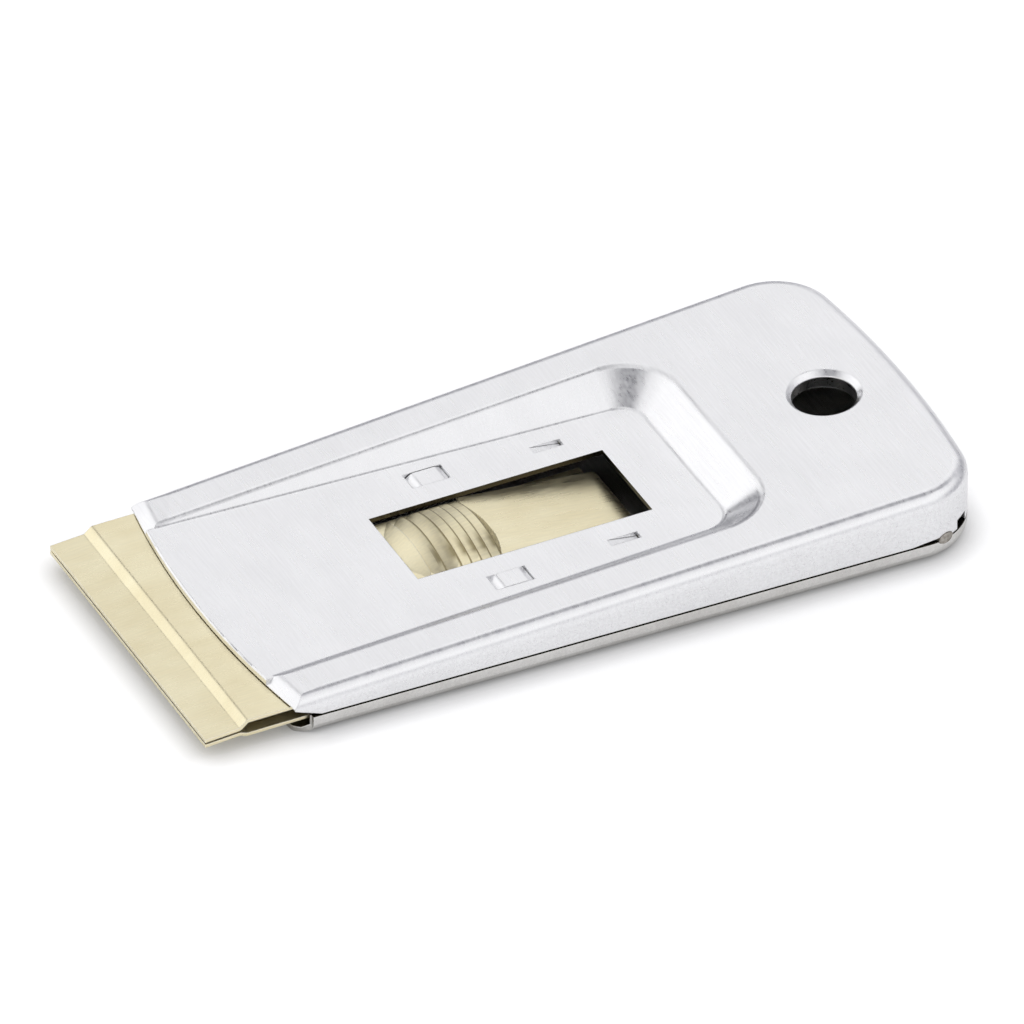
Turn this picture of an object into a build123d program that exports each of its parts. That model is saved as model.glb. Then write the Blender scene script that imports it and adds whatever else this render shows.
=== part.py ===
from build123d import *
import math
import os

os.makedirs("parts", exist_ok=True)

# Pocket glass scraper with a sliding blade carrier, in mm.
# X runs across it, Y along it with the blade end toward -Y, Z up.
# The origin is under the middle of the whole scraper with the carrier out.

# Housing sizes
skin = 0.6
front_y = -38.3
front_corner_x = 20.3
front_corner_y = -36.5
rear_y = 46.65
rear_corner_x = 22.5
rear_corner_y = 44.7
rear_corner_radius = 7.4
seam_height = 2.55
seam_gap = 0.12
top_height = 6.8
top_rise_angle = 2.81
top_edge_radius = 1.65
bottom_edge_radius = 1.6
ridge_end_lean = 50
ridge_end_radius = 1.4
ridge_top_slope = math.tan(math.radians(4))
panel_edge_radius = 0.25

# Open mouth at the blade end
mouth_height = 3.95
mouth_reach = 6.0
corner_rise_length = 3.1
corner_rise_height = 1.15
floor_setback = 0.75
floor_corner_x = 18.6
floor_corner_radius = 1.0
wall_setback = 2.1
wall_foot_x = 19.9
wall_foot_radius = 0.35

# Sunken panel in the top shell
panel_height = 4.7
panel_front_half_width = 14.8
panel_rear_half_width = 11.95
panel_rear_y = 20.0
panel_corner_radius = 3.2
panel_side_angle = 37.5
panel_rear_angle = 41.5
crest_radius = 1.2
foot_radius = 0.8
wall_edge_inset = 2.5

# Thumb window and the lanced tabs and ramps beside it
window_y = -0.95
window_width = 12.0
window_length = 28.1
tab_x = 10.2
tab_y = -6.0
tab_width = 2.65
tab_length = 4.6
tab_front_dip = 0.7
tab_front_run = 1.0
tab_rear_dip = 0.35
tab_rear_run = 0.7
tab_bend_radius = 0.7
ramp_x = 9.35
ramp_y = 8.05
ramp_width = 1.15
ramp_length = 3.6
ramp_dip = 0.6
lance_skin = 0.5
lance_gap = 0.1
lance_step = 0.03

# Hang hole
hole_y = 36.9
hole_radius = 3.55
hole_entry_depth = 0.6
hole_entry_radius = 0.2
collar_depth = 1.9
collar_skin = 0.5

# Carrier, one strip of spring steel folded at its rear end
strip = 0.4
carrier_half_width = 19.25
lip_y = -46.65
lip_top = 2.77
lip_bottom = 1.73
joggle_y = -42.1
joggle_length = 0.9
joggle_top = 3.02
joggle_bottom = 1.96
pocket_top = 3.8
pocket_bottom = 1.65
shoulder_y = -25.9
shoulder_radius = 1.5
neck_half_width = 5.8
tongue_half_width = 6.15
lower_half_width = 8.6
tongue_end_height = 2.1
fold_y = 11.9
fold_length = 0.76
lower_rest = 0.75
lower_slope_length = 8.0
bend_radius = 0.4

# Thumb pad of the carrier, with teeth that rise toward the rear and drop in a step
pad_front_y = -15.35
pad_ramp_y = -12.95
pad_heel_y = -4.7
pad_rear_y = -3.5
pad_crest_y = -8.5
pad_top = 5.5
pad_arch_radius = 13.0
pad_side_radius = 27.0
pad_flank_x = 4.75
pad_flank_angle = 36
pad_root_height = 3.95
front_tooth_count = 2
front_tooth_length = 1.75
front_tooth_drop = 0.5
front_tooth_bulge = 0.05
rear_tooth_count = 4
rear_tooth_drop = 0.15
rear_tooth_bulge = 0.015
tooth_step_length = 0.15

# Tack welds at the rear corners, and the gaps in the seam beside them
weld_angle = 16
weld_length = 2.0
weld_height = 1.25
weld_proud = 0.16
weld_depth = 0.4
weld_gap = 0.02
slit_y = 36.1
slit_rise_length = 2.5
slit_length = 3.4
slit_height = 0.36
notch_angle = 39
notch_width = 2.1
notch_height = 1.25

# Values worked out from the sizes above
top_slope = math.tan(math.radians(top_rise_angle))
side_spread = (rear_corner_x - front_corner_x) / (rear_corner_y - front_corner_y)
panel_spread = (panel_front_half_width - panel_rear_half_width) / (panel_rear_y - front_y)
front_bow = front_corner_y - front_y
front_bow_radius = (front_corner_x**2 + front_bow**2) / (2 * front_bow)
upper_rim = seam_height + seam_gap / 2
lower_rim = seam_height - seam_gap / 2
collar_top = top_height + hole_y * top_slope
rear_teeth_y = pad_ramp_y + front_tooth_count * front_tooth_length
rear_tooth_length = (pad_heel_y - rear_teeth_y) / rear_tooth_count

inner_bevel = 2 - math.sqrt(2)

# Cutting shapes reach this far past what they cut, or stand this little outside a wall
past = 10.0
wide = 60.0
margin = 0.03
least_radius = 0.01


def across(points, half_width):
    """Prism whose section in the YZ plane is a closed outline, centred on X = 0."""
    return extrude(Plane.YZ * make_face(Polyline(*points, close=True)), half_width, both=True)


def bend(rim, radius, inset):
    """Bend of the sheet along some edges: round outside, and a flat bevel of like size inside."""
    if inset > 0:
        return chamfer(rim, (radius - inset) * inner_bevel)
    return fillet(rim, radius)


def plan_face(inset):
    """Plan of the housing: bowed front and rear ends, and sides that spread toward the rear."""
    with BuildSketch() as plan:
        with BuildLine():
            front = ThreePointArc(
                (-front_corner_x, front_corner_y),
                (0, front_y),
                (front_corner_x, front_corner_y),
            )
            rear = ThreePointArc(
                (rear_corner_x, rear_corner_y),
                (0, rear_y),
                (-rear_corner_x, rear_corner_y),
            )
            Line(front @ 1, rear @ 0)
            Line(rear @ 1, front @ 0)
        make_face()
        fillet(plan.vertices().group_by(Axis.Y)[-1], rear_corner_radius)
        if inset > 0:
            offset(amount=-inset, kind=Kind.INTERSECTION)
    return plan.sketch


def floor_plan():
    """Plan of the lower tray: the floor reaches nearly to the mouth, the side walls end farther back."""
    outer_x = front_corner_x + margin
    wall_y = front_corner_y + wall_setback
    floor_front = front_y + floor_setback
    corner_y = floor_front + floor_corner_x**2 / (2 * front_bow_radius)
    spread = side_spread * (rear_y - wall_y)
    right = [(floor_corner_x, corner_y), (wall_foot_x, wall_y), (outer_x, wall_y), (outer_x + spread, rear_y)]
    left = [(-x, y) for x, y in reversed(right)]
    with BuildSketch() as plan:
        with BuildLine():
            ThreePointArc(left[-1], (0, floor_front), right[0])
            Polyline(*right, *left)
        make_face()
        fillet(plan.vertices().group_by(Axis.Y)[0], floor_corner_radius)
        feet = plan.vertices().filter_by(lambda corner: abs(abs(corner.X) - wall_foot_x) < margin)
        fillet(feet, wall_foot_radius)
    return plan.sketch


def panel_outline(side_growth, rear_growth, height):
    """Outline of the sunken panel at one height, a trapezoid with two round rear corners."""
    side_growth *= math.hypot(1, panel_spread)
    front_half = panel_front_half_width + past * panel_spread + side_growth
    rear_half = panel_rear_half_width - rear_growth * panel_spread + side_growth
    rear = panel_rear_y + rear_growth
    with BuildSketch(Plane.XY.offset(height)) as outline:
        with BuildLine():
            Polyline(
                (-front_half, front_y - past),
                (front_half, front_y - past),
                (rear_half, rear),
                (-rear_half, rear),
                close=True,
            )
        make_face()
        fillet(outline.vertices().group_by(Axis.Y)[-1], panel_corner_radius + rear_growth)
    return outline.sketch


def panel_cutter(inset):
    """Everything above the sunken panel, with walls that lean outward."""
    feet = []
    crests = []
    for angle in (panel_side_angle, panel_rear_angle):
        foot = inset * math.tan(math.radians(angle / 2))
        feet.append(foot)
        crests.append(foot + past / math.tan(math.radians(angle)))
    low = panel_height - inset
    return loft([panel_outline(*feet, low), panel_outline(*crests, low + past)], ruled=True)


def above_top(inset):
    """Everything above the rising top face."""
    lean = math.radians(top_rise_angle)
    height = top_height - inset / math.cos(lean)
    plane = Plane((0, 0, height), x_dir=(1, 0, 0), z_dir=(0, -math.sin(lean), math.cos(lean)))
    return plane * Box(2 * wide, 3 * wide, 2 * past, align=(Align.CENTER, Align.CENTER, Align.MIN))


def turned_front(outline):
    """Body turned about the centre of the front bow, from its section in radius and height."""
    section = Plane.XZ * make_face(outline)
    return Pos(0, front_y + front_bow_radius, 0) * revolve(section, Axis.Z)


def front_limit(inset):
    """Space behind the bowed front wall, upright along the panel and rolled back at both ridges."""
    lean = math.radians(ridge_end_lean)
    reach = front_bow_radius - inset
    radius = ridge_end_radius - inset
    ridge_top = top_height + front_corner_y * top_slope + margin - inset
    middle_z = ridge_top - radius
    slack = radius + (middle_z - mouth_height) * math.sin(lean)
    middle_r = front_bow_radius - inset / math.cos(lean) - slack / math.cos(lean)
    low = (middle_r + radius * math.cos(lean), middle_z + radius * math.sin(lean))
    half_way = math.radians(45) + lean / 2
    bulge = (middle_r + radius * math.cos(half_way), middle_z + radius * math.sin(half_way))
    foot_r = low[0] + (low[1] - mouth_height) * math.tan(lean)
    roll = ThreePointArc(low, bulge, (middle_r, ridge_top))
    rise = Polyline((middle_r, ridge_top), (0, ridge_top + middle_r * ridge_top_slope), (0, 0))
    skirt = Polyline((0, 0), (foot_r, 0), (foot_r, mouth_height), low)
    ridges = turned_front(roll.edges() + rise.edges() + skirt.edges())
    edge_radius = max(panel_edge_radius - inset, least_radius)
    panel_top = panel_height - inset
    corner = FilletPolyline((reach, 0), (reach, panel_top), (0, panel_top), radius=edge_radius)
    panel = turned_front(corner.edges() + Polyline((0, panel_top), (0, 0), (reach, 0)).edges())
    return ridges + (panel & Box(2 * panel_front_half_width, 2 * wide, 2 * wide))


def housing_form(inset, base_height):
    """Solid form of the upper housing, rounded along its sides and rear, with the sunken panel."""
    form = extrude(Pos(0, 0, base_height) * plan_face(inset), past + seam_height)
    form -= above_top(inset)
    top = form.faces().filter_by(GeomType.PLANE).sort_by(Axis.Z)[-1]
    rim = top.edges().filter_by(lambda edge: edge.center().Y > front_corner_y + 1)
    form = bend(rim, top_edge_radius, inset)
    form -= panel_cutter(inset)
    return form


def wall_edges(face):
    """Edges of a flat face that lie along the walls of the sunken panel."""
    return face.edges().filter_by(
        lambda edge: abs(edge.position_at(0.5).X) < front_corner_x - wall_edge_inset
        and front_corner_y + wall_edge_inset < edge.position_at(0.5).Y < hole_y
    )


def mouth_space():
    """Space between the side walls at the blade end, open toward the front."""
    near = front_corner_y + mouth_reach
    far = front_y - past
    near_half = front_corner_x + side_spread * mouth_reach - skin * math.hypot(1, side_spread)
    far_half = near_half - side_spread * (near - far)
    outline = Polyline((-far_half, far), (far_half, far), (near_half, near), (-near_half, near), close=True)
    return extrude(make_face(outline), mouth_height)


def lanced_tab(side):
    """Strip beside the window, cut free at both ends, which are bent down below the panel."""
    crown = panel_height - lance_step
    reach = (tab_length - lance_gap) / 2
    upper = FilletPolyline(
        (-reach, crown - tab_front_dip),
        (tab_front_run - reach, crown),
        (reach - tab_rear_run, crown),
        (reach, crown - tab_rear_dip),
        radius=tab_bend_radius,
    )
    lower = Pos(0, -lance_skin) * upper
    ends = [Line(upper @ 0, lower @ 0), Line(upper @ 1, lower @ 1)]
    outline = make_face([*upper.edges(), *lower.edges(), *ends])
    width = tab_width - lance_gap
    start_x = side * tab_x - tab_width / 2 + (lance_gap if side < 0 else 0)
    return Plane((start_x, tab_y, 0), x_dir=(0, 1, 0), z_dir=(1, 0, 0)) * extrude(outline, width)


def lanced_ramp(side):
    """Small strip that slopes down toward the rear, where it is cut free."""
    front = -ramp_length / 2
    rear = ramp_length / 2 - lance_gap
    slope = [
        (front, panel_height - lance_step),
        (rear, panel_height - ramp_dip),
        (rear, panel_height - ramp_dip - lance_skin),
        (front, panel_height - lance_skin),
    ]
    return Pos(side * ramp_x, ramp_y, 0) * across(slope, (ramp_width - lance_gap) / 2)


def on_corner(angle):
    """Plane on the outside of the right rear corner at seam height, its Z pointing outward."""
    arcs = plan_face(0).edges().filter_by(GeomType.CIRCLE)
    corner = arcs.filter_by(lambda arc: abs(arc.radius - rear_corner_radius) < 0.01).sort_by(Axis.X)[-1]
    outward = Vector(math.cos(math.radians(angle)), math.sin(math.radians(angle)), 0)
    spot = corner.arc_center + outward * rear_corner_radius
    return Plane((spot.X, spot.Y, seam_height), x_dir=(0, 0, 1), z_dir=outward)


def weld_plug(growth):
    """Elliptical plug across the seam at the right rear corner, or the larger opening it fills."""
    depth = weld_depth + growth
    plug = extrude(Ellipse(weld_height / 2 + growth, weld_length / 2 + growth), depth + weld_proud)
    return Pos(0, 0, -depth) * plug


# Tack welds, melted metal across the seam with a domed face that stands a little proud
dome_radius = ((weld_length / 2) ** 2 + weld_proud**2) / (2 * weld_proud)
domed_plug = weld_plug(0) & Pos(0, 0, weld_proud - dome_radius) * Sphere(dome_radius)
right_weld = on_corner(weld_angle) * domed_plug
corner_welds = right_weld + mirror(right_weld, about=Plane.YZ)
right_opening = on_corner(weld_angle) * weld_plug(weld_gap)
weld_openings = right_opening + mirror(right_opening, about=Plane.YZ)

# Upper half of the housing, one pressed sheet with a sunken panel
outer = housing_form(0, upper_rim)
flats = outer.faces().filter_by(GeomType.PLANE)
top_face = flats.filter_by(lambda flat: flat.center().Z > panel_height + 1).sort_by(SortBy.AREA)[-1]
outer = fillet(wall_edges(top_face), crest_radius)
flats = outer.faces().filter_by(GeomType.PLANE)
panel_face = flats.filter_by(lambda flat: abs(flat.center().Z - panel_height) < 0.01)[0]
outer = fillet(wall_edges(panel_face), foot_radius)
outer &= front_limit(0)
top_shell = outer - (housing_form(skin, 0) & front_limit(skin)) - mouth_space()

# Hang hole with its drawn-in collar
collar = Cylinder(
    hole_radius + collar_skin,
    collar_depth - skin / 2,
    align=(Align.CENTER, Align.CENTER, Align.MIN),
)
hang_hole = Pos(0, hole_y, 0) * Cylinder(hole_radius, wide)
top_shell += Pos(0, hole_y, collar_top - collar_depth) * collar
top_shell -= hang_hole
entry = top_shell.edges().filter_by(
    lambda edge: edge.center().Z > collar_top - 0.05 and abs(edge.center().Y - hole_y) < 1
)
top_shell = chamfer(entry, hole_entry_depth)
entry = top_shell.edges().filter_by(
    lambda edge: edge.length > 5 * hole_radius
    and edge.bounding_box().min.Z > collar_top - 1.5 * hole_entry_depth
    and edge.bounding_box().size.X < 4 * hole_radius
)
top_shell = fillet(entry, hole_entry_radius)

# Thumb window, tabs and ramps
top_shell -= Pos(0, window_y, panel_height) * Box(window_width, window_length, 4 * skin)
for side in (-1, 1):
    top_shell -= Pos(side * tab_x, tab_y, panel_height) * Box(tab_width, tab_length, 4 * skin)
    top_shell -= Pos(side * ramp_x, ramp_y, panel_height) * Box(ramp_width, ramp_length, 4 * skin)
    top_shell += lanced_tab(side)
    top_shell += lanced_ramp(side)

# The side walls rise toward the mouth, and the seam opens beside each weld
corner_rise = [
    (front_corner_y + corner_rise_length, 0),
    (front_corner_y + corner_rise_length, upper_rim),
    (front_corner_y, upper_rim + corner_rise_height),
    (front_y - past, upper_rim + corner_rise_height),
    (front_y - past, 0),
]
slit = [
    (slit_y, seam_height),
    (slit_y, upper_rim),
    (slit_y + slit_rise_length, seam_height + slit_height),
    (slit_y + slit_length, seam_height + slit_height),
    (slit_y + slit_length, seam_height),
]
notch = on_corner(notch_angle) * Box(2 * notch_height, notch_width, 4)
top_shell -= across(corner_rise, wide)
top_shell -= across(slit, wide)
top_shell -= notch + mirror(notch, about=Plane.YZ)
top_shell -= weld_openings

# Lower half of the housing, a shallow pressed tray that is open at the blade end
tray = extrude(plan_face(0), lower_rim)
tray_rim = tray.faces().sort_by(Axis.Z)[0].edges().filter_by(
    lambda edge: edge.center().Y > front_corner_y + 1
)
tray = bend(tray_rim, bottom_edge_radius, 0)
hollow = extrude(Pos(0, 0, skin) * plan_face(skin), seam_height)
hollow_rim = hollow.faces().sort_by(Axis.Z)[0].edges().filter_by(
    lambda edge: edge.center().Y > front_corner_y + 1
)
hollow = bend(hollow_rim, bottom_edge_radius, skin)
bottom_shell = tray - hollow - hang_hole
bottom_shell &= extrude(floor_plan(), past)
bottom_shell -= weld_openings


def bent_strip(points, half_width):
    """Strip of spring steel that follows a bent line in the YZ plane."""
    path = FilletPolyline(*points, radius=bend_radius)
    section = offset(path, amount=strip / 2, side=Side.BOTH, closed=True)
    return extrude(Plane.YZ * make_face(section), half_width, both=True)


def shouldered_plan(wide_half, narrow_half, narrow_end):
    """Tall prism as wide as the blade in front of the shoulders and narrow behind them."""
    right = [
        (wide_half, lip_y),
        (wide_half, shoulder_y),
        (narrow_half, shoulder_y),
        (narrow_half, narrow_end),
    ]
    left = [(-x, y) for x, y in reversed(right)]
    prism = extrude(make_face(Polyline(*right, *left, close=True)), past)
    shoulders = prism.edges().filter_by(Axis.Z).filter_by(
        lambda edge: abs(edge.center().Y - shoulder_y) < 0.1
    )
    return fillet(shoulders, shoulder_radius)


def pad_spot(y, drop=0):
    """Point over the middle line of the thumb pad, level with the tips of its teeth or lower."""
    return Vector(0, y, pad_top - (y - pad_crest_y) ** 2 / (2 * pad_side_radius) - drop)


def tooth(start_y, length, drop, bulge):
    """Outline of one tooth: a short step down, then a slightly bulging rise toward the rear."""
    root = pad_spot(start_y + tooth_step_length, drop)
    tip = pad_spot(start_y + length)
    middle = (root + tip) / 2 + (0, 0, bulge)
    return [Line(pad_spot(start_y), root), ThreePointArc(root, middle, tip)]


def pad_form(crown, floor):
    """Solid between a floor and the thumb pad, which is arched across and falls at both flanks."""
    front = Vector(0, pad_front_y, pocket_top)
    low = pocket_top - 3 * strip
    root = (0, pad_rear_y, pad_root_height)
    skirt = Polyline(pad_spot(pad_heel_y), root, (0, pad_rear_y, low), (0, front.Y, low), front)
    ramp = Line(front, crown[0] @ 0)
    lowest_radius = pad_arch_radius - pad_top + low - strip
    swing = math.degrees(math.asin(neck_half_width / lowest_radius))
    axis = Axis((0, 0, pad_top - pad_arch_radius), (0, 1, 0))
    outline = make_face([ramp, *crown, *skirt.edges()])
    form = revolve(outline.rotate(axis, -swing), axis, 2 * swing)
    flank_top = pad_top - pad_flank_x**2 / (2 * pad_arch_radius)
    crest = flank_top + pad_flank_x * math.tan(math.radians(pad_flank_angle))
    foot = crest - neck_half_width * math.tan(math.radians(pad_flank_angle))
    right = [(neck_half_width, foot), (neck_half_width, floor)]
    left = [(-x, z) for x, z in reversed(right)]
    section = make_face(Polyline((0, crest), *right, *left, close=True))
    return form & extrude(Plane.XZ * section, wide, both=True)


# Upper leaf of the blade carrier, from the lip over the joggle to the thumb pad
middle_of_sheet = strip / 2
upper_line = [
    (lip_y, lip_top - middle_of_sheet),
    (joggle_y - joggle_length / 2, joggle_top - middle_of_sheet),
    (joggle_y + joggle_length / 2, pocket_top - middle_of_sheet),
    (pad_rear_y + strip, pocket_top - middle_of_sheet),
]
upper_leaf = bent_strip(upper_line, carrier_half_width)
upper_leaf &= shouldered_plan(carrier_half_width, neck_half_width, pad_rear_y + past)

# Thumb pad, domed up from the same strip, with the teeth pressed into its top
teeth = []
for number in range(front_tooth_count):
    start = pad_ramp_y + number * front_tooth_length
    teeth += tooth(start, front_tooth_length, front_tooth_drop, front_tooth_bulge)
for number in range(rear_tooth_count):
    start = rear_teeth_y + number * rear_tooth_length
    teeth += tooth(start, rear_tooth_length, rear_tooth_drop, rear_tooth_bulge)
smooth_start = pad_spot(pad_ramp_y + tooth_step_length, front_tooth_drop)
smooth_crown = ThreePointArc(smooth_start, pad_spot(pad_crest_y, rear_tooth_drop), pad_spot(pad_heel_y))
pad_hollow = Pos(0, -strip / 4, -1.2 * strip) * pad_form([smooth_crown], 0)
thumb_pad = pad_form(teeth, pocket_top - middle_of_sheet)

# Tongue that falls from the pad toward the rear and is folded under itself
fold_radius = (tongue_end_height - lower_rest - strip) / 2
tongue_line = [
    (pad_heel_y + strip, pad_root_height - middle_of_sheet),
    (fold_y, tongue_end_height - middle_of_sheet),
    (fold_y + fold_length, lower_rest + middle_of_sheet + fold_radius),
    (fold_y, lower_rest + middle_of_sheet),
    (fold_y - 2 * strip, lower_rest + middle_of_sheet),
]
tongue = bent_strip(tongue_line, tongue_half_width)

# Lower leaf, which lies over the floor of the housing and rises to the bottom of the pocket
lower_line = [
    (fold_y - strip, lower_rest + middle_of_sheet),
    (shoulder_y + 1 + lower_slope_length, lower_rest + middle_of_sheet),
    (shoulder_y + 1, pocket_bottom + middle_of_sheet),
    (joggle_y + joggle_length / 2, pocket_bottom + middle_of_sheet),
    (joggle_y - joggle_length / 2, joggle_bottom + middle_of_sheet),
    (lip_y, lip_bottom + middle_of_sheet),
]
lower_leaf = bent_strip(lower_line, carrier_half_width)
lower_leaf &= shouldered_plan(carrier_half_width, lower_half_width, fold_y + past)
blade_carrier = (upper_leaf + thumb_pad - pad_hollow) + tongue + lower_leaf

export_step(top_shell, "parts/top_shell.step")
export_step(bottom_shell, "parts/bottom_shell.step")
export_step(corner_welds, "parts/corner_welds.step")
export_step(blade_carrier, "parts/blade_carrier.step")
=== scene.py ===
import math
import bmesh
import bpy
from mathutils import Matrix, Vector

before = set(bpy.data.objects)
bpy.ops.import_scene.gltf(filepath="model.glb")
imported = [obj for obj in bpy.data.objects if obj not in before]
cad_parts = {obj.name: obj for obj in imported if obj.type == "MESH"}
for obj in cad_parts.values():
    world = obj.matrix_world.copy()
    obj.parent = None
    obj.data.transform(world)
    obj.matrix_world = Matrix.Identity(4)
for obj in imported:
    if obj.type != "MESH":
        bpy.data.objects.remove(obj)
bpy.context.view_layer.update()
scene = bpy.context.scene
scene.view_settings.view_transform = "Standard"


# Camera. A long lens from the right of the blade end, looking down at the scraper on its table,
# so that the thumb window, the hang hole and the whole right side show.
MM = 0.001
camera_turn = math.radians(63.5577)
camera_rise = math.radians(36.5908)
camera_distance = 2.0
toward_camera = Vector((
    math.sin(camera_turn) * math.cos(camera_rise),
    -math.cos(camera_turn) * math.cos(camera_rise),
    math.sin(camera_rise),
))
camera_right = Vector((math.cos(camera_turn), math.sin(camera_turn), 0))
camera_up = toward_camera.cross(camera_right)
window_middle = Vector((0, -0.95 * MM, 4.71 * MM))
aim = window_middle + camera_right * 0.154 * MM + camera_up * 0.223 * MM
lens = bpy.data.cameras.new("camera")
lens.lens = 653.9
lens.sensor_width = 36
lens.clip_end = 20
camera = bpy.data.objects.new("camera", lens)
camera.location = aim + toward_camera * camera_distance
camera.rotation_euler = toward_camera.to_track_quat("Z", "Y").to_euler()
scene.collection.objects.link(camera)
scene.camera = camera


# Table. A wide sheet of white paper under the scraper. It shows and reflects as plain white,
# and keeps the soft shadow that the scraper throws on it, deepened by a painted contact shadow.
def new_finish(name):
    """New material, with its node tree and its Principled shader."""
    finish = bpy.data.materials.new(name)
    finish.use_nodes = True
    return finish, finish.node_tree, finish.node_tree.nodes["Principled BSDF"]


table_half_width = 3
shadow_reach = 3 * MM
open_paper = 1.0
covered_paper = 0.2
darkest_shadow = 0.45
seen_glow = 0.31
mirrored_glow = 0.12

table_shape = bmesh.new()
bmesh.ops.create_grid(table_shape, x_segments=1, y_segments=1, size=table_half_width)
table_mesh = bpy.data.meshes.new("table")
table_shape.to_mesh(table_mesh)
table_shape.free()
table = bpy.data.objects.new("table", table_mesh)
scene.collection.objects.link(table)

paper, tree, shader = new_finish("white_paper")
shader.inputs["Roughness"].default_value = 0.9
shader.inputs["Specular IOR Level"].default_value = 0
# Painted contact shadow: ambient occlusion darkens the paper's colour near the scraper, and its glow with
# it.
nearby = tree.nodes.new("ShaderNodeAmbientOcclusion")
nearby.samples = 16
nearby.inputs["Distance"].default_value = shadow_reach
painted_contact_shade = tree.nodes.new("ShaderNodeMapRange")
painted_contact_shade.inputs["From Min"].default_value = covered_paper
painted_contact_shade.inputs["From Max"].default_value = open_paper
painted_contact_shade.inputs["To Min"].default_value = darkest_shadow
tree.links.new(nearby.outputs["AO"], painted_contact_shade.inputs["Value"])
tree.links.new(painted_contact_shade.outputs["Result"], shader.inputs["Base Color"])

# A little light of its own, only where the camera or the metal looks at the paper, keeps it white.
rays = tree.nodes.new("ShaderNodeLightPath")
seen = tree.nodes.new("ShaderNodeMath")
seen.operation = "MULTIPLY"
seen.inputs[1].default_value = seen_glow
tree.links.new(rays.outputs["Is Camera Ray"], seen.inputs[0])
glow = tree.nodes.new("ShaderNodeMath")
glow.operation = "MULTIPLY_ADD"
glow.inputs[1].default_value = mirrored_glow
tree.links.new(rays.outputs["Is Glossy Ray"], glow.inputs[0])
tree.links.new(seen.outputs[0], glow.inputs[2])
held_back = tree.nodes.new("ShaderNodeMath")
held_back.operation = "MULTIPLY"
tree.links.new(glow.outputs[0], held_back.inputs[0])
tree.links.new(painted_contact_shade.outputs["Result"], held_back.inputs[1])
shader.inputs["Emission Color"].default_value = (1, 1, 1, 1)
tree.links.new(held_back.outputs[0], shader.inputs["Emission Strength"])
table_mesh.materials.append(paper)


# Studio light. A white cloth tent all round, with a dark gap between its two halves, two dark spots
# above, dimmer cloth low down behind and to the sides, and two brighter panels. The bends of the
# steel mirror these as dark and bright lines.
studio = bpy.data.worlds.new("studio")
scene.world = studio
studio.use_nodes = True
tree = studio.node_tree
background = tree.nodes["Background"]
direction = tree.nodes.new("ShaderNodeTexCoord").outputs["Generated"]


def rising(low, high, toward):
    """Mask of the studio that rises from 0 to 1 as directions turn toward one axis."""
    along = tree.nodes.new("ShaderNodeVectorMath")
    along.operation = "DOT_PRODUCT"
    along.inputs[1].default_value = Vector(toward).normalized()
    tree.links.new(direction, along.inputs[0])
    ramp = tree.nodes.new("ShaderNodeMapRange")
    ramp.interpolation_type = "SMOOTHSTEP"
    ramp.inputs["From Min"].default_value = low
    ramp.inputs["From Max"].default_value = high
    tree.links.new(along.outputs["Value"], ramp.inputs["Value"])
    return ramp.outputs["Result"]


def overlap(first, second):
    """Mask where both masks are set."""
    both = tree.nodes.new("ShaderNodeMath")
    both.operation = "MULTIPLY"
    tree.links.new(first, both.inputs[0])
    tree.links.new(second, both.inputs[1])
    return both.outputs["Value"]


def tinted(base, mask, tone):
    """Studio colour with a tone laid over it where the mask is 1."""
    mix = tree.nodes.new("ShaderNodeMix")
    mix.data_type = "RGBA"
    mix.inputs["B"].default_value = (*tone, 1)
    tree.links.new(mask, mix.inputs["Factor"])
    if isinstance(base, tuple):
        mix.inputs["A"].default_value = (*base, 1)
    else:
        tree.links.new(base, mix.inputs["A"])
    return mix.outputs["Result"]


across_gap = (0.355, 0.824, 0.442)
opposite = tuple(-part for part in across_gap)
gap = overlap(rising(-0.06, 0.03, across_gap), rising(-0.18, -0.09, opposite))
bright_panel = rising(0.85, 0.97, (0.5, 0.36, 0.79))
spot = rising(0.945, 0.99, (-0.17, 0.36, 0.92))
camera_side = rising(0.88, 0.965, (0.32, -0.43, 0.84))
front_panel = rising(0.9, 0.965, (-0.72, -0.54, 0.436))
low_band = overlap(rising(0.0, 0.05, (0, 0, 1)), rising(-0.46, -0.34, (0, 0, -1)))
behind = overlap(low_band, rising(0.3, 0.55, (-0.35, 0.94, 0)))
left = overlap(low_band, rising(0.78, 0.9, (-1, 0.25, 0)))
far_left = overlap(low_band, rising(0.93, 0.975, (-1, 0, 0.15)))
right = overlap(low_band, rising(0.6, 0.8, (1, 0.2, 0)))

white_cloth = (1.07, 1.07, 1.08)
tent = tinted(white_cloth, gap, (0.12, 0.12, 0.14))
tent = tinted(tent, bright_panel, (1.12, 1.12, 1.13))
tent = tinted(tent, spot, (0.2, 0.2, 0.22))
tent = tinted(tent, camera_side, (0.16, 0.16, 0.18))
tent = tinted(tent, behind, (0.28, 0.28, 0.32))
tent = tinted(tent, left, (0.6, 0.6, 0.63))
tent = tinted(tent, far_left, (0.16, 0.16, 0.18))
tent = tinted(tent, right, (0.82, 0.82, 0.84))
tent = tinted(tent, front_panel, (1.18, 1.18, 1.19))
rays = tree.nodes.new("ShaderNodeLightPath")
tent = tinted(tent, rays.outputs["Is Camera Ray"], (1, 1, 1))
tree.links.new(tent, background.inputs["Color"])
background.inputs["Strength"].default_value = 1.0


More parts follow.
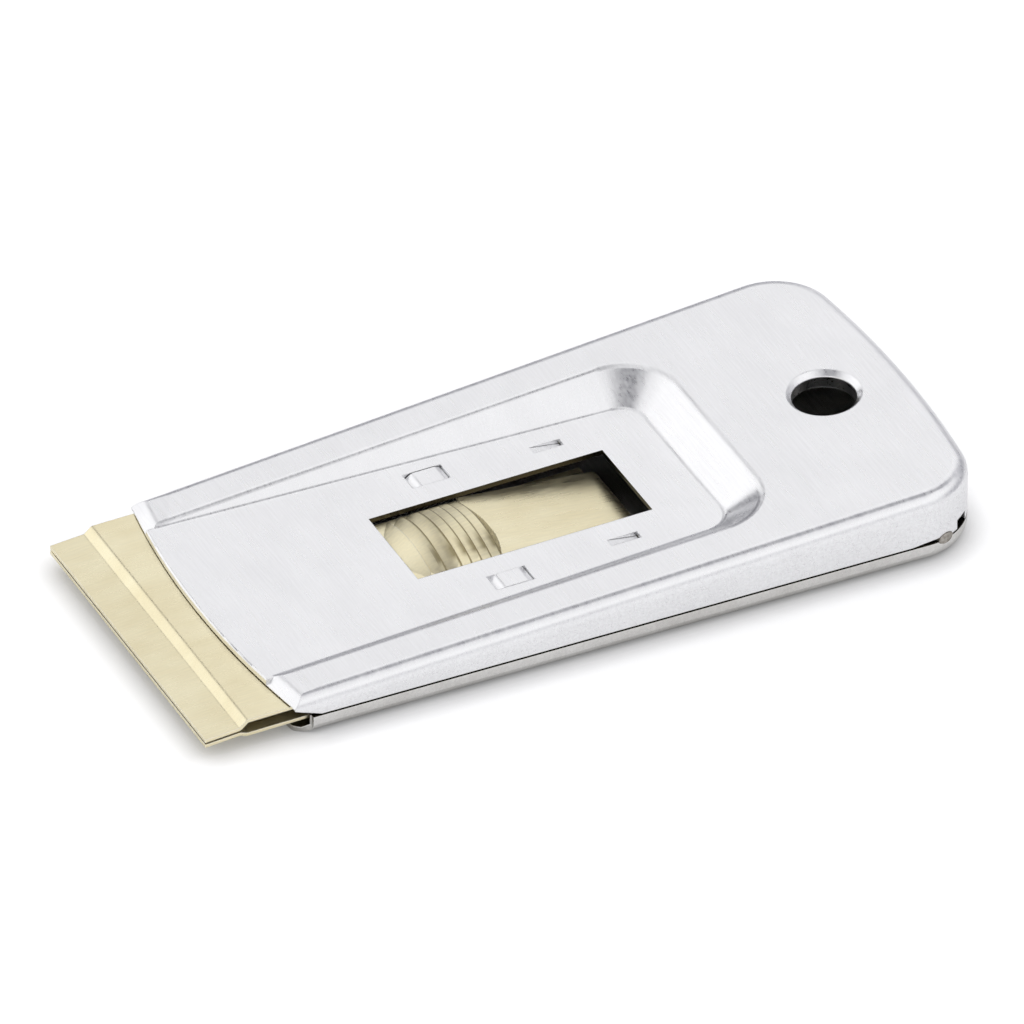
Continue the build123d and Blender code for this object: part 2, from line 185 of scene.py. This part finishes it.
# Steel shells. Two pressings of bright sheet steel, brushed across the scraper before they were pressed,
# so fine streaks run along X over flats and bends alike. The lower tray is smoother, and painted a little
# darker as shade.
# The walls of the thumb window and the hang hole carry nearly black painted shade, the seam between the
# shells is dark, and the rounded long edges carry a painted dark reflection band.
def new_group(name, inputs, outputs):
    """New shader node group with named value inputs and outputs, and its inner end nodes."""
    group = bpy.data.node_groups.new(name, "ShaderNodeTree")
    for label, kind in inputs:
        group.interface.new_socket(label, in_out="INPUT", socket_type=kind)
    for label, kind in outputs:
        group.interface.new_socket(label, in_out="OUTPUT", socket_type=kind)
    return group, group.nodes.new("NodeGroupInput"), group.nodes.new("NodeGroupOutput")


def stretched_noise(tree, vector, stretch, detail, roughness=0.6):
    """Noise whose features are stretched along the axes, in features to the metre."""
    scaled = tree.nodes.new("ShaderNodeVectorMath")
    scaled.operation = "MULTIPLY"
    scaled.inputs[1].default_value = stretch
    tree.links.new(vector, scaled.inputs[0])
    noise = tree.nodes.new("ShaderNodeTexNoise")
    noise.inputs["Scale"].default_value = 1.0
    noise.inputs["Detail"].default_value = detail
    noise.inputs["Roughness"].default_value = roughness
    tree.links.new(scaled.outputs[0], noise.inputs["Vector"])
    return noise.outputs["Fac"]


fine_streaks = (200, 3000, 3000)
broad_strokes = (180, 1300, 900)
tone_clouds = (130, 190, 190)
grain, ins, outs = new_group(
    "brushed_grain",
    [("Position", "NodeSocketVector")],
    [("Streaks", "NodeSocketFloat"), ("Strokes", "NodeSocketFloat"), ("Clouds", "NodeSocketFloat")],
)
grain.links.new(stretched_noise(grain, ins.outputs[0], fine_streaks, 1), outs.inputs["Streaks"])
grain.links.new(stretched_noise(grain, ins.outputs[0], broad_strokes, 1), outs.inputs["Strokes"])
grain.links.new(stretched_noise(grain, ins.outputs[0], tone_clouds, 2), outs.inputs["Clouds"])

wear, ins, outs = new_group(
    "worn_edges",
    [("Radius", "NodeSocketFloat")],
    [("Wear", "NodeSocketFloat"), ("Normal", "NodeSocketVector")],
)
bevel = wear.nodes.new("ShaderNodeBevel")
bevel.samples = 6
wear.links.new(ins.outputs["Radius"], bevel.inputs["Radius"])
geometry = wear.nodes.new("ShaderNodeNewGeometry")
facing = wear.nodes.new("ShaderNodeVectorMath")
facing.operation = "DOT_PRODUCT"
wear.links.new(bevel.outputs["Normal"], facing.inputs[0])
wear.links.new(geometry.outputs["Normal"], facing.inputs[1])
unworn_turn = 0.995
fully_worn_turn = 0.85
turned = wear.nodes.new("ShaderNodeMapRange")
turned.inputs["From Min"].default_value = unworn_turn
turned.inputs["From Max"].default_value = fully_worn_turn
wear.links.new(facing.outputs["Value"], turned.inputs["Value"])
wear.links.new(turned.outputs["Result"], outs.inputs["Wear"])
wear.links.new(bevel.outputs["Normal"], outs.inputs["Normal"])

pressing, ins, outs = new_group(
    "pressed_edges",
    [("Position", "NodeSocketVector"), ("Facing", "NodeSocketVector")],
    [("WallShadeAndSeam", "NodeSocketFloat"), ("PaintedBand", "NodeSocketFloat")],
)
place = pressing.nodes.new("ShaderNodeSeparateXYZ")
pressing.links.new(ins.outputs["Position"], place.inputs[0])
facing = pressing.nodes.new("ShaderNodeSeparateXYZ")
pressing.links.new(ins.outputs["Facing"], facing.inputs[0])


def pressing_step(operation, value, other=None):
    """One step of arithmetic in the pressed edges group."""
    step = pressing.nodes.new("ShaderNodeMath")
    step.operation = operation
    pressing.links.new(value, step.inputs[0])
    if isinstance(other, (int, float)):
        step.inputs[1].default_value = other
    elif other is not None:
        pressing.links.new(other, step.inputs[1])
    return step.outputs["Value"]


def within(value, middle, reach):
    """Mask where a value lies within its reach of a middle."""
    near = pressing_step("COMPARE", value, middle)
    near.node.inputs[2].default_value = reach
    return near


def all_of(masks):
    """Product of several masks."""
    product = masks[0]
    for mask in masks[1:]:
        product = pressing_step("MULTIPLY", product, mask)
    return product


# Painted shade: masks of the window and hang hole walls, to be coloured nearly black; the seam is a dark
# joint.
upright = within(facing.outputs["Z"], 0, 0.4)
window_wall = all_of([
    within(place.outputs["X"], 0, 8.2 * MM),
    within(place.outputs["Y"], -1 * MM, 15 * MM),
    within(place.outputs["Z"], 4.2 * MM, 0.5 * MM),
    upright,
])
from_hole = pressing.nodes.new("ShaderNodeVectorMath")
from_hole.operation = "DISTANCE"
from_hole.inputs[1].default_value = (0, 36.9 * MM, 4 * MM)
pressing.links.new(ins.outputs["Position"], from_hole.inputs[0])
hole_wall = all_of([
    within(from_hole.outputs["Value"], 3.7 * MM, 0.9 * MM),
    upright,
    within(place.outputs["Z"], 4 * MM, 2.4 * MM),
])
seam = within(place.outputs["Z"], 2.5 * MM, 0.13 * MM)
wall_shade_and_seam = pressing_step("MAXIMUM", pressing_step("MAXIMUM", window_wall, hole_wall), seam)
pressing.links.new(wall_shade_and_seam, outs.inputs["WallShadeAndSeam"])

# Painted reflection: a dark band over the rounded long edges, where the steel turns from the top toward the
# side.
sideways = pressing_step("ABSOLUTE", facing.outputs["X"])
rolled = [pressing_step("GREATER_THAN", pressing_step("ABSOLUTE", place.outputs["X"]), 17.5 * MM)]
for turn, start, end, low, high in (
    (sideways, 0.08, 0.25, 0, 1),
    (sideways, 0.42, 0.62, 1, 0),
    (facing.outputs["Z"], 0.5, 0.8, 0, 1),
):
    span = pressing.nodes.new("ShaderNodeMapRange")
    span.inputs["From Min"].default_value = start
    span.inputs["From Max"].default_value = end
    span.inputs["To Min"].default_value = low
    span.inputs["To Max"].default_value = high
    pressing.links.new(turn, span.inputs["Value"])
    rolled.append(span.outputs["Result"])
pressing.links.new(all_of(rolled), outs.inputs["PaintedBand"])


def mixed_colour(tree, mask, low, high):
    """Colour between two tones, or between an earlier colour and a tone, by a mask."""
    mix = tree.nodes.new("ShaderNodeMix")
    mix.data_type = "RGBA"
    tree.links.new(mask, mix.inputs["Factor"])
    for socket, tone in (("A", low), ("B", high)):
        if isinstance(tone, tuple):
            mix.inputs[socket].default_value = (*tone, 1)
        else:
            tree.links.new(tone, mix.inputs[socket])
    return mix.outputs["Result"]


def ranged(tree, value, low, high, start=0.3, end=0.7):
    """Value carried from the span start to end over to the span low to high."""
    span = tree.nodes.new("ShaderNodeMapRange")
    span.inputs["From Min"].default_value = start
    span.inputs["From Max"].default_value = end
    span.inputs["To Min"].default_value = low
    span.inputs["To Max"].default_value = high
    tree.links.new(value, span.inputs["Value"])
    return span.outputs["Result"]


def bumped(tree, height, depth, normal=None):
    """Normal bent by a height pattern of this depth in metres."""
    bump = tree.nodes.new("ShaderNodeBump")
    bump.inputs["Strength"].default_value = 1.0
    bump.inputs["Distance"].default_value = depth
    tree.links.new(height, bump.inputs["Height"])
    if normal is not None:
        tree.links.new(normal, bump.inputs["Normal"])
    return bump.outputs["Normal"]


def placed_group(tree, group):
    """A shader node group set into a material."""
    node = tree.nodes.new("ShaderNodeGroup")
    node.node_tree = group
    return node


edge_wear_radius = 0.12 * MM
stroke_depth = 0.012 * MM
streak_depth = 0.0015 * MM


def brushed_sheet(name, dark, bright, burnished, roughness, along_y=False, wall_shade_and_seam_tone=None, painted_band_tone=None):
    """Brushed metal sheet with streaks, clouds of tone and bright worn edges; given a wall shade tone, also
    painted shade on the window and hole walls, a dark seam, and a painted dark reflection band on the long
    edges.
    """
    finish, tree, shader = new_finish(name)
    coordinates = tree.nodes.new("ShaderNodeTexCoord")
    place = coordinates.outputs["Object"]
    if along_y:
        turn = tree.nodes.new("ShaderNodeMapping")
        turn.inputs["Rotation"].default_value = (0, 0, math.radians(90))
        tree.links.new(place, turn.inputs["Vector"])
        place = turn.outputs["Vector"]
    marks = placed_group(tree, grain)
    tree.links.new(place, marks.inputs["Position"])
    edges = placed_group(tree, wear)
    edges.inputs["Radius"].default_value = edge_wear_radius

    tone = mixed_colour(tree, ranged(tree, marks.outputs["Clouds"], 0, 1), dark, bright)
    streaked = tree.nodes.new("ShaderNodeMix")
    streaked.data_type = "RGBA"
    streaked.blend_type = "MULTIPLY"
    streaked.inputs["Factor"].default_value = 1.0
    tree.links.new(tone, streaked.inputs["A"])
    tree.links.new(ranged(tree, marks.outputs["Streaks"], 0.92, 1.02), streaked.inputs["B"])
    colour = mixed_colour(tree, edges.outputs["Wear"], streaked.outputs["Result"], burnished)
    # Painted shade: nearly black on the window and hole walls, plus the dark seam.
    if wall_shade_and_seam_tone is not None:
        pressed = placed_group(tree, pressing)
        tree.links.new(coordinates.outputs["Object"], pressed.inputs["Position"])
        tree.links.new(coordinates.outputs["Normal"], pressed.inputs["Facing"])
        # Painted reflection: a dark streaky band over the rounded long edges of the top.
        painted_band = tree.nodes.new("ShaderNodeMath")
        painted_band.operation = "MULTIPLY"
        tree.links.new(pressed.outputs["PaintedBand"], painted_band.inputs[0])
        tree.links.new(ranged(tree, marks.outputs["Strokes"], 0.25, 0.9), painted_band.inputs[1])
        colour = mixed_colour(tree, painted_band.outputs["Value"], colour, painted_band_tone)
        colour = mixed_colour(tree, pressed.outputs["WallShadeAndSeam"], colour, wall_shade_and_seam_tone)
    tree.links.new(colour, shader.inputs["Base Color"])

    satin = ranged(tree, marks.outputs["Streaks"], roughness - 0.04, roughness + 0.05)
    tree.links.new(satin, shader.inputs["Roughness"])
    shader.inputs["Metallic"].default_value = 1.0
    shader.inputs["Anisotropic"].default_value = 0.8
    across = tree.nodes.new("ShaderNodeCombineXYZ")
    across.inputs["X" if along_y else "Y"].default_value = 1.0
    tree.links.new(across.outputs[0], shader.inputs["Tangent"])
    relief = bumped(tree, marks.outputs["Strokes"], stroke_depth, edges.outputs["Normal"])
    relief = bumped(tree, marks.outputs["Streaks"], streak_depth, relief)
    tree.links.new(relief, shader.inputs["Normal"])
    return finish


def dress(node, finish):
    """Gives one solid its finish."""
    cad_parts[node].data.materials.clear()
    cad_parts[node].data.materials.append(finish)


top_steel = brushed_sheet(
    "brushed_steel",
    dark=(0.9, 0.9, 0.91),
    bright=(0.94, 0.94, 0.95),
    burnished=(0.97, 0.97, 0.97),
    roughness=0.3,
    wall_shade_and_seam_tone=(0.06, 0.052, 0.036),
    painted_band_tone=(0.66, 0.66, 0.69),
)
# Painted shade: the tray's tones are darker and warmer than the top shell's.
tray_steel = brushed_sheet(
    "tray_steel",
    dark=(0.68, 0.665, 0.64),
    bright=(0.8, 0.79, 0.77),
    burnished=(0.93, 0.93, 0.92),
    roughness=0.2,
    wall_shade_and_seam_tone=(0.03, 0.026, 0.018),
    painted_band_tone=(0.66, 0.66, 0.69),
)
dress("top_shell", top_steel)
dress("bottom_shell", tray_steel)


# Corner welds. Two small spots of melted steel that tie the shells together, left as they cooled,
# grey brown and slightly rough.
weld_tone = (0.22, 0.2, 0.17)
weld_bright_tone = (0.5, 0.47, 0.43)
weld_grain = (2600, 2600, 2600)
weld_grain_depth = 0.03 * MM

weld, tree, shader = new_finish("cooled_weld")
place = tree.nodes.new("ShaderNodeTexCoord").outputs["Object"]
scale = stretched_noise(tree, place, weld_grain, 4)
scaly = mixed_colour(tree, ranged(tree, scale, 0, 1), weld_tone, weld_bright_tone)
tree.links.new(scaly, shader.inputs["Base Color"])
tree.links.new(ranged(tree, scale, 0.5, 0.32), shader.inputs["Roughness"])
shader.inputs["Metallic"].default_value = 1.0
tree.links.new(bumped(tree, scale, weld_grain_depth), shader.inputs["Normal"])
dress("corner_welds", weld)


# Blade carrier. One strip of spring steel with a thin pale gold plating, rolled lengthwise and folded
# under itself. It slides in the housing. The teeth of its thumb pad carry a painted dark brown shade
# in the groove behind each step and down their right ends.
pad_front = -15.4 * MM
pad_end = -4.7 * MM
pad_foot = 3.85 * MM
teeth_foot = 3.95 * MM
front_teeth_start = -12.95 * MM
front_tooth_length = 1.75 * MM
rear_teeth_start = -9.45 * MM
rear_tooth_length = 1.1875 * MM
pad_shade_tone = (0.2, 0.15, 0.05)
pad_extra_roughness = 0.04

plated = brushed_sheet(
    "gold_plated_strip",
    dark=(0.9, 0.81, 0.55),
    bright=(0.985, 0.91, 0.65),
    burnished=(0.96, 0.93, 0.82),
    roughness=0.3,
    along_y=True,
)
tree = plated.node_tree
shader = tree.nodes["Principled BSDF"]
place = tree.nodes.new("ShaderNodeSeparateXYZ")
tree.links.new(tree.nodes.new("ShaderNodeTexCoord").outputs["Object"], place.inputs[0])
across, along, height = place.outputs


def worked(operation, *values):
    """One step of arithmetic on the carrier's positions."""
    step = tree.nodes.new("ShaderNodeMath")
    step.operation = operation
    for number, value in enumerate(values):
        if isinstance(value, (int, float)):
            step.inputs[number].default_value = value
        else:
            tree.links.new(value, step.inputs[number])
    return step.outputs["Value"]


def down_teeth(start, length):
    """How far along its tooth a place is, from 0 at one step to 1 at the next."""
    return worked("FRACT", worked("DIVIDE", worked("SUBTRACT", along, start), length))


at_rear = worked("GREATER_THAN", along, rear_teeth_start)
at_front = worked("SUBTRACT", 1.0, at_rear)
along_tooth = worked(
    "ADD",
    worked("MULTIPLY", down_teeth(rear_teeth_start, rear_tooth_length), at_rear),
    worked("MULTIPLY", down_teeth(front_teeth_start, front_tooth_length), at_front),
)
past_step = worked("FRACT", worked("ADD", along_tooth, 0.5))
from_step = worked("ABSOLUTE", worked("SUBTRACT", past_step, 0.5))
groove = ranged(tree, from_step, 0.8, 0.0, 0.04, 0.13)
bar = worked(
    "MULTIPLY",
    ranged(tree, along_tooth, 0, 0.7, 0.4, 0.85),
    ranged(tree, across, 0, 1, 1.4 * MM, 3.0 * MM),
)
bar = worked("MULTIPLY", bar, ranged(tree, across, 1, 0, 4.0 * MM, 4.7 * MM))

on_teeth = worked("GREATER_THAN", height, teeth_foot)
on_teeth = worked("MULTIPLY", on_teeth, worked("LESS_THAN", along, pad_end + 0.1 * MM))
on_teeth = worked("MULTIPLY", on_teeth, worked("GREATER_THAN", along, front_teeth_start + 1.2 * MM))
# Painted shade on the pad's teeth: in the grooves behind the steps and in bars down their right ends.
pad_shade = worked("MULTIPLY", worked("MAXIMUM", groove, bar), on_teeth)
plain = shader.inputs["Base Color"].links[0].from_socket
tree.links.new(mixed_colour(tree, pad_shade, plain, pad_shade_tone), shader.inputs["Base Color"])

on_pad = worked("GREATER_THAN", height, pad_foot)
on_pad = worked("MULTIPLY", on_pad, worked("LESS_THAN", along, pad_end))
on_pad = worked("MULTIPLY", on_pad, worked("GREATER_THAN", along, pad_front))
satin = shader.inputs["Roughness"].links[0].from_socket
tree.links.new(worked("MULTIPLY_ADD", on_pad, pad_extra_roughness, satin), shader.inputs["Roughness"])
dress("blade_carrier", plated)
